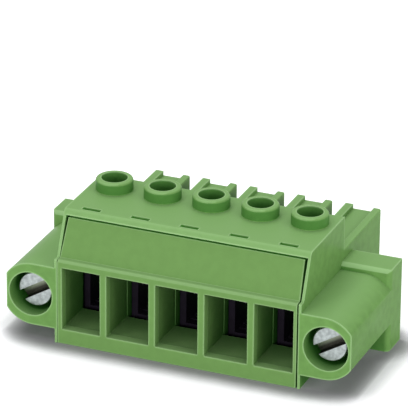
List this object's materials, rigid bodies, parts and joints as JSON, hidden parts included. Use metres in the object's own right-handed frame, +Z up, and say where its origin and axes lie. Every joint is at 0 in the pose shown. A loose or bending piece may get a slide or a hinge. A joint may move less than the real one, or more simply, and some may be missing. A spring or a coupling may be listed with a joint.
{
  "type": "pluggable terminal block",
  "caption": "Green pluggable terminal block with wire entries in front, screw towers on top, pin sockets behind and a captive screw in each end flange.",
  "frame": {"origin": "middle of the base: halfway along the row and halfway along the whole depth, on the flat underside", "axes": "+X along the row of positions, +Y from the wire entries towards the plug side, +Z up out of the screw towers"},
  "size_m": [0.0534, 0.0326, 0.0216],
  "materials": {
    "housing_plastic": "moulded, fine matte, slightly translucent",
    "frame_plastic": "moulded, fine matte, slightly translucent",
    "flange_screw_zinc": "bright zinc",
    "clamp_screw_zinc": "bright zinc",
    "cage_steel": "dark passivated steel",
    "contact_tinned_copper": "tinned copper alloy",
    "spring_steel": "stainless spring steel"
  },
  "bodies": {
    "housing": {"housing": "housing_plastic", "front_frame": "frame_plastic", "contact_1": "contact_tinned_copper", "contact_spring_1": "spring_steel", "contact_2": "contact_tinned_copper", "contact_spring_2": "spring_steel", "contact_3": "contact_tinned_copper", "contact_spring_3": "spring_steel", "contact_4": "contact_tinned_copper", "contact_spring_4": "spring_steel", "contact_5": "contact_tinned_copper", "contact_spring_5": "spring_steel"},
    "clamp_screw_1": {"clamp_screw_1": "clamp_screw_zinc"},
    "clamp_cage_1": {"clamp_cage_1": "cage_steel"},
    "clamp_screw_2": {"clamp_screw_2": "clamp_screw_zinc"},
    "clamp_cage_2": {"clamp_cage_2": "cage_steel"},
    "clamp_screw_3": {"clamp_screw_3": "clamp_screw_zinc"},
    "clamp_cage_3": {"clamp_cage_3": "cage_steel"},
    "clamp_screw_4": {"clamp_screw_4": "clamp_screw_zinc"},
    "clamp_cage_4": {"clamp_cage_4": "cage_steel"},
    "clamp_screw_5": {"clamp_screw_5": "clamp_screw_zinc"},
    "clamp_cage_5": {"clamp_cage_5": "cage_steel"},
    "flange_screw_left": {"flange_screw_left": "flange_screw_zinc"},
    "flange_screw_right": {"flange_screw_right": "flange_screw_zinc"}
  },
  "joints": [
    {"name": "clamp_screw_1_turn", "type": "hinge", "parent": "housing", "child": "clamp_screw_1", "pos_m": [-0.01524, -0.00329, 0.01655], "axis": [0, 0, -1], "range_deg": [0, 2880]},
    {"name": "clamp_cage_1_rise", "type": "slide", "parent": "housing", "child": "clamp_cage_1", "axis": [0, 0, 1], "range_m": [0, 0.004]},
    {"name": "clamp_screw_2_turn", "type": "hinge", "parent": "housing", "child": "clamp_screw_2", "pos_m": [-0.00762, -0.00329, 0.01655], "axis": [0, 0, -1], "range_deg": [0, 2880]},
    {"name": "clamp_cage_2_rise", "type": "slide", "parent": "housing", "child": "clamp_cage_2", "axis": [0, 0, 1], "range_m": [0, 0.004]},
    {"name": "clamp_screw_3_turn", "type": "hinge", "parent": "housing", "child": "clamp_screw_3", "pos_m": [0, -0.00329, 0.01655], "axis": [0, 0, -1], "range_deg": [0, 2880]},
    {"name": "clamp_cage_3_rise", "type": "slide", "parent": "housing", "child": "clamp_cage_3", "axis": [0, 0, 1], "range_m": [0, 0.004]},
    {"name": "clamp_screw_4_turn", "type": "hinge", "parent": "housing", "child": "clamp_screw_4", "pos_m": [0.00762, -0.00329, 0.01655], "axis": [0, 0, -1], "range_deg": [0, 2880]},
    {"name": "clamp_cage_4_rise", "type": "slide", "parent": "housing", "child": "clamp_cage_4", "axis": [0, 0, 1], "range_m": [0, 0.004]},
    {"name": "clamp_screw_5_turn", "type": "hinge", "parent": "housing", "child": "clamp_screw_5", "pos_m": [0.01524, -0.00329, 0.01655], "axis": [0, 0, -1], "range_deg": [0, 2880]},
    {"name": "clamp_cage_5_rise", "type": "slide", "parent": "housing", "child": "clamp_cage_5", "axis": [0, 0, 1], "range_m": [0, 0.004]},
    {"name": "flange_screw_left_turn", "type": "hinge", "parent": "housing", "child": "flange_screw_left", "pos_m": [-0.02286, -0.0123, 0.00707], "axis": [0, 1, 0], "continuous": true},
    {"name": "flange_screw_right_turn", "type": "hinge", "parent": "housing", "child": "flange_screw_right", "pos_m": [0.02286, -0.0123, 0.00707], "axis": [0, 1, 0], "continuous": true}
  ],
  "couplings": [
    {"joint": "clamp_screw_1_turn", "follows": "clamp_cage_1_rise", "rad_per_m": 12566},
    {"joint": "clamp_screw_2_turn", "follows": "clamp_cage_2_rise", "rad_per_m": 12566},
    {"joint": "clamp_screw_3_turn", "follows": "clamp_cage_3_rise", "rad_per_m": 12566},
    {"joint": "clamp_screw_4_turn", "follows": "clamp_cage_4_rise", "rad_per_m": 12566},
    {"joint": "clamp_screw_5_turn", "follows": "clamp_cage_5_rise", "rad_per_m": 12566}
  ]
}
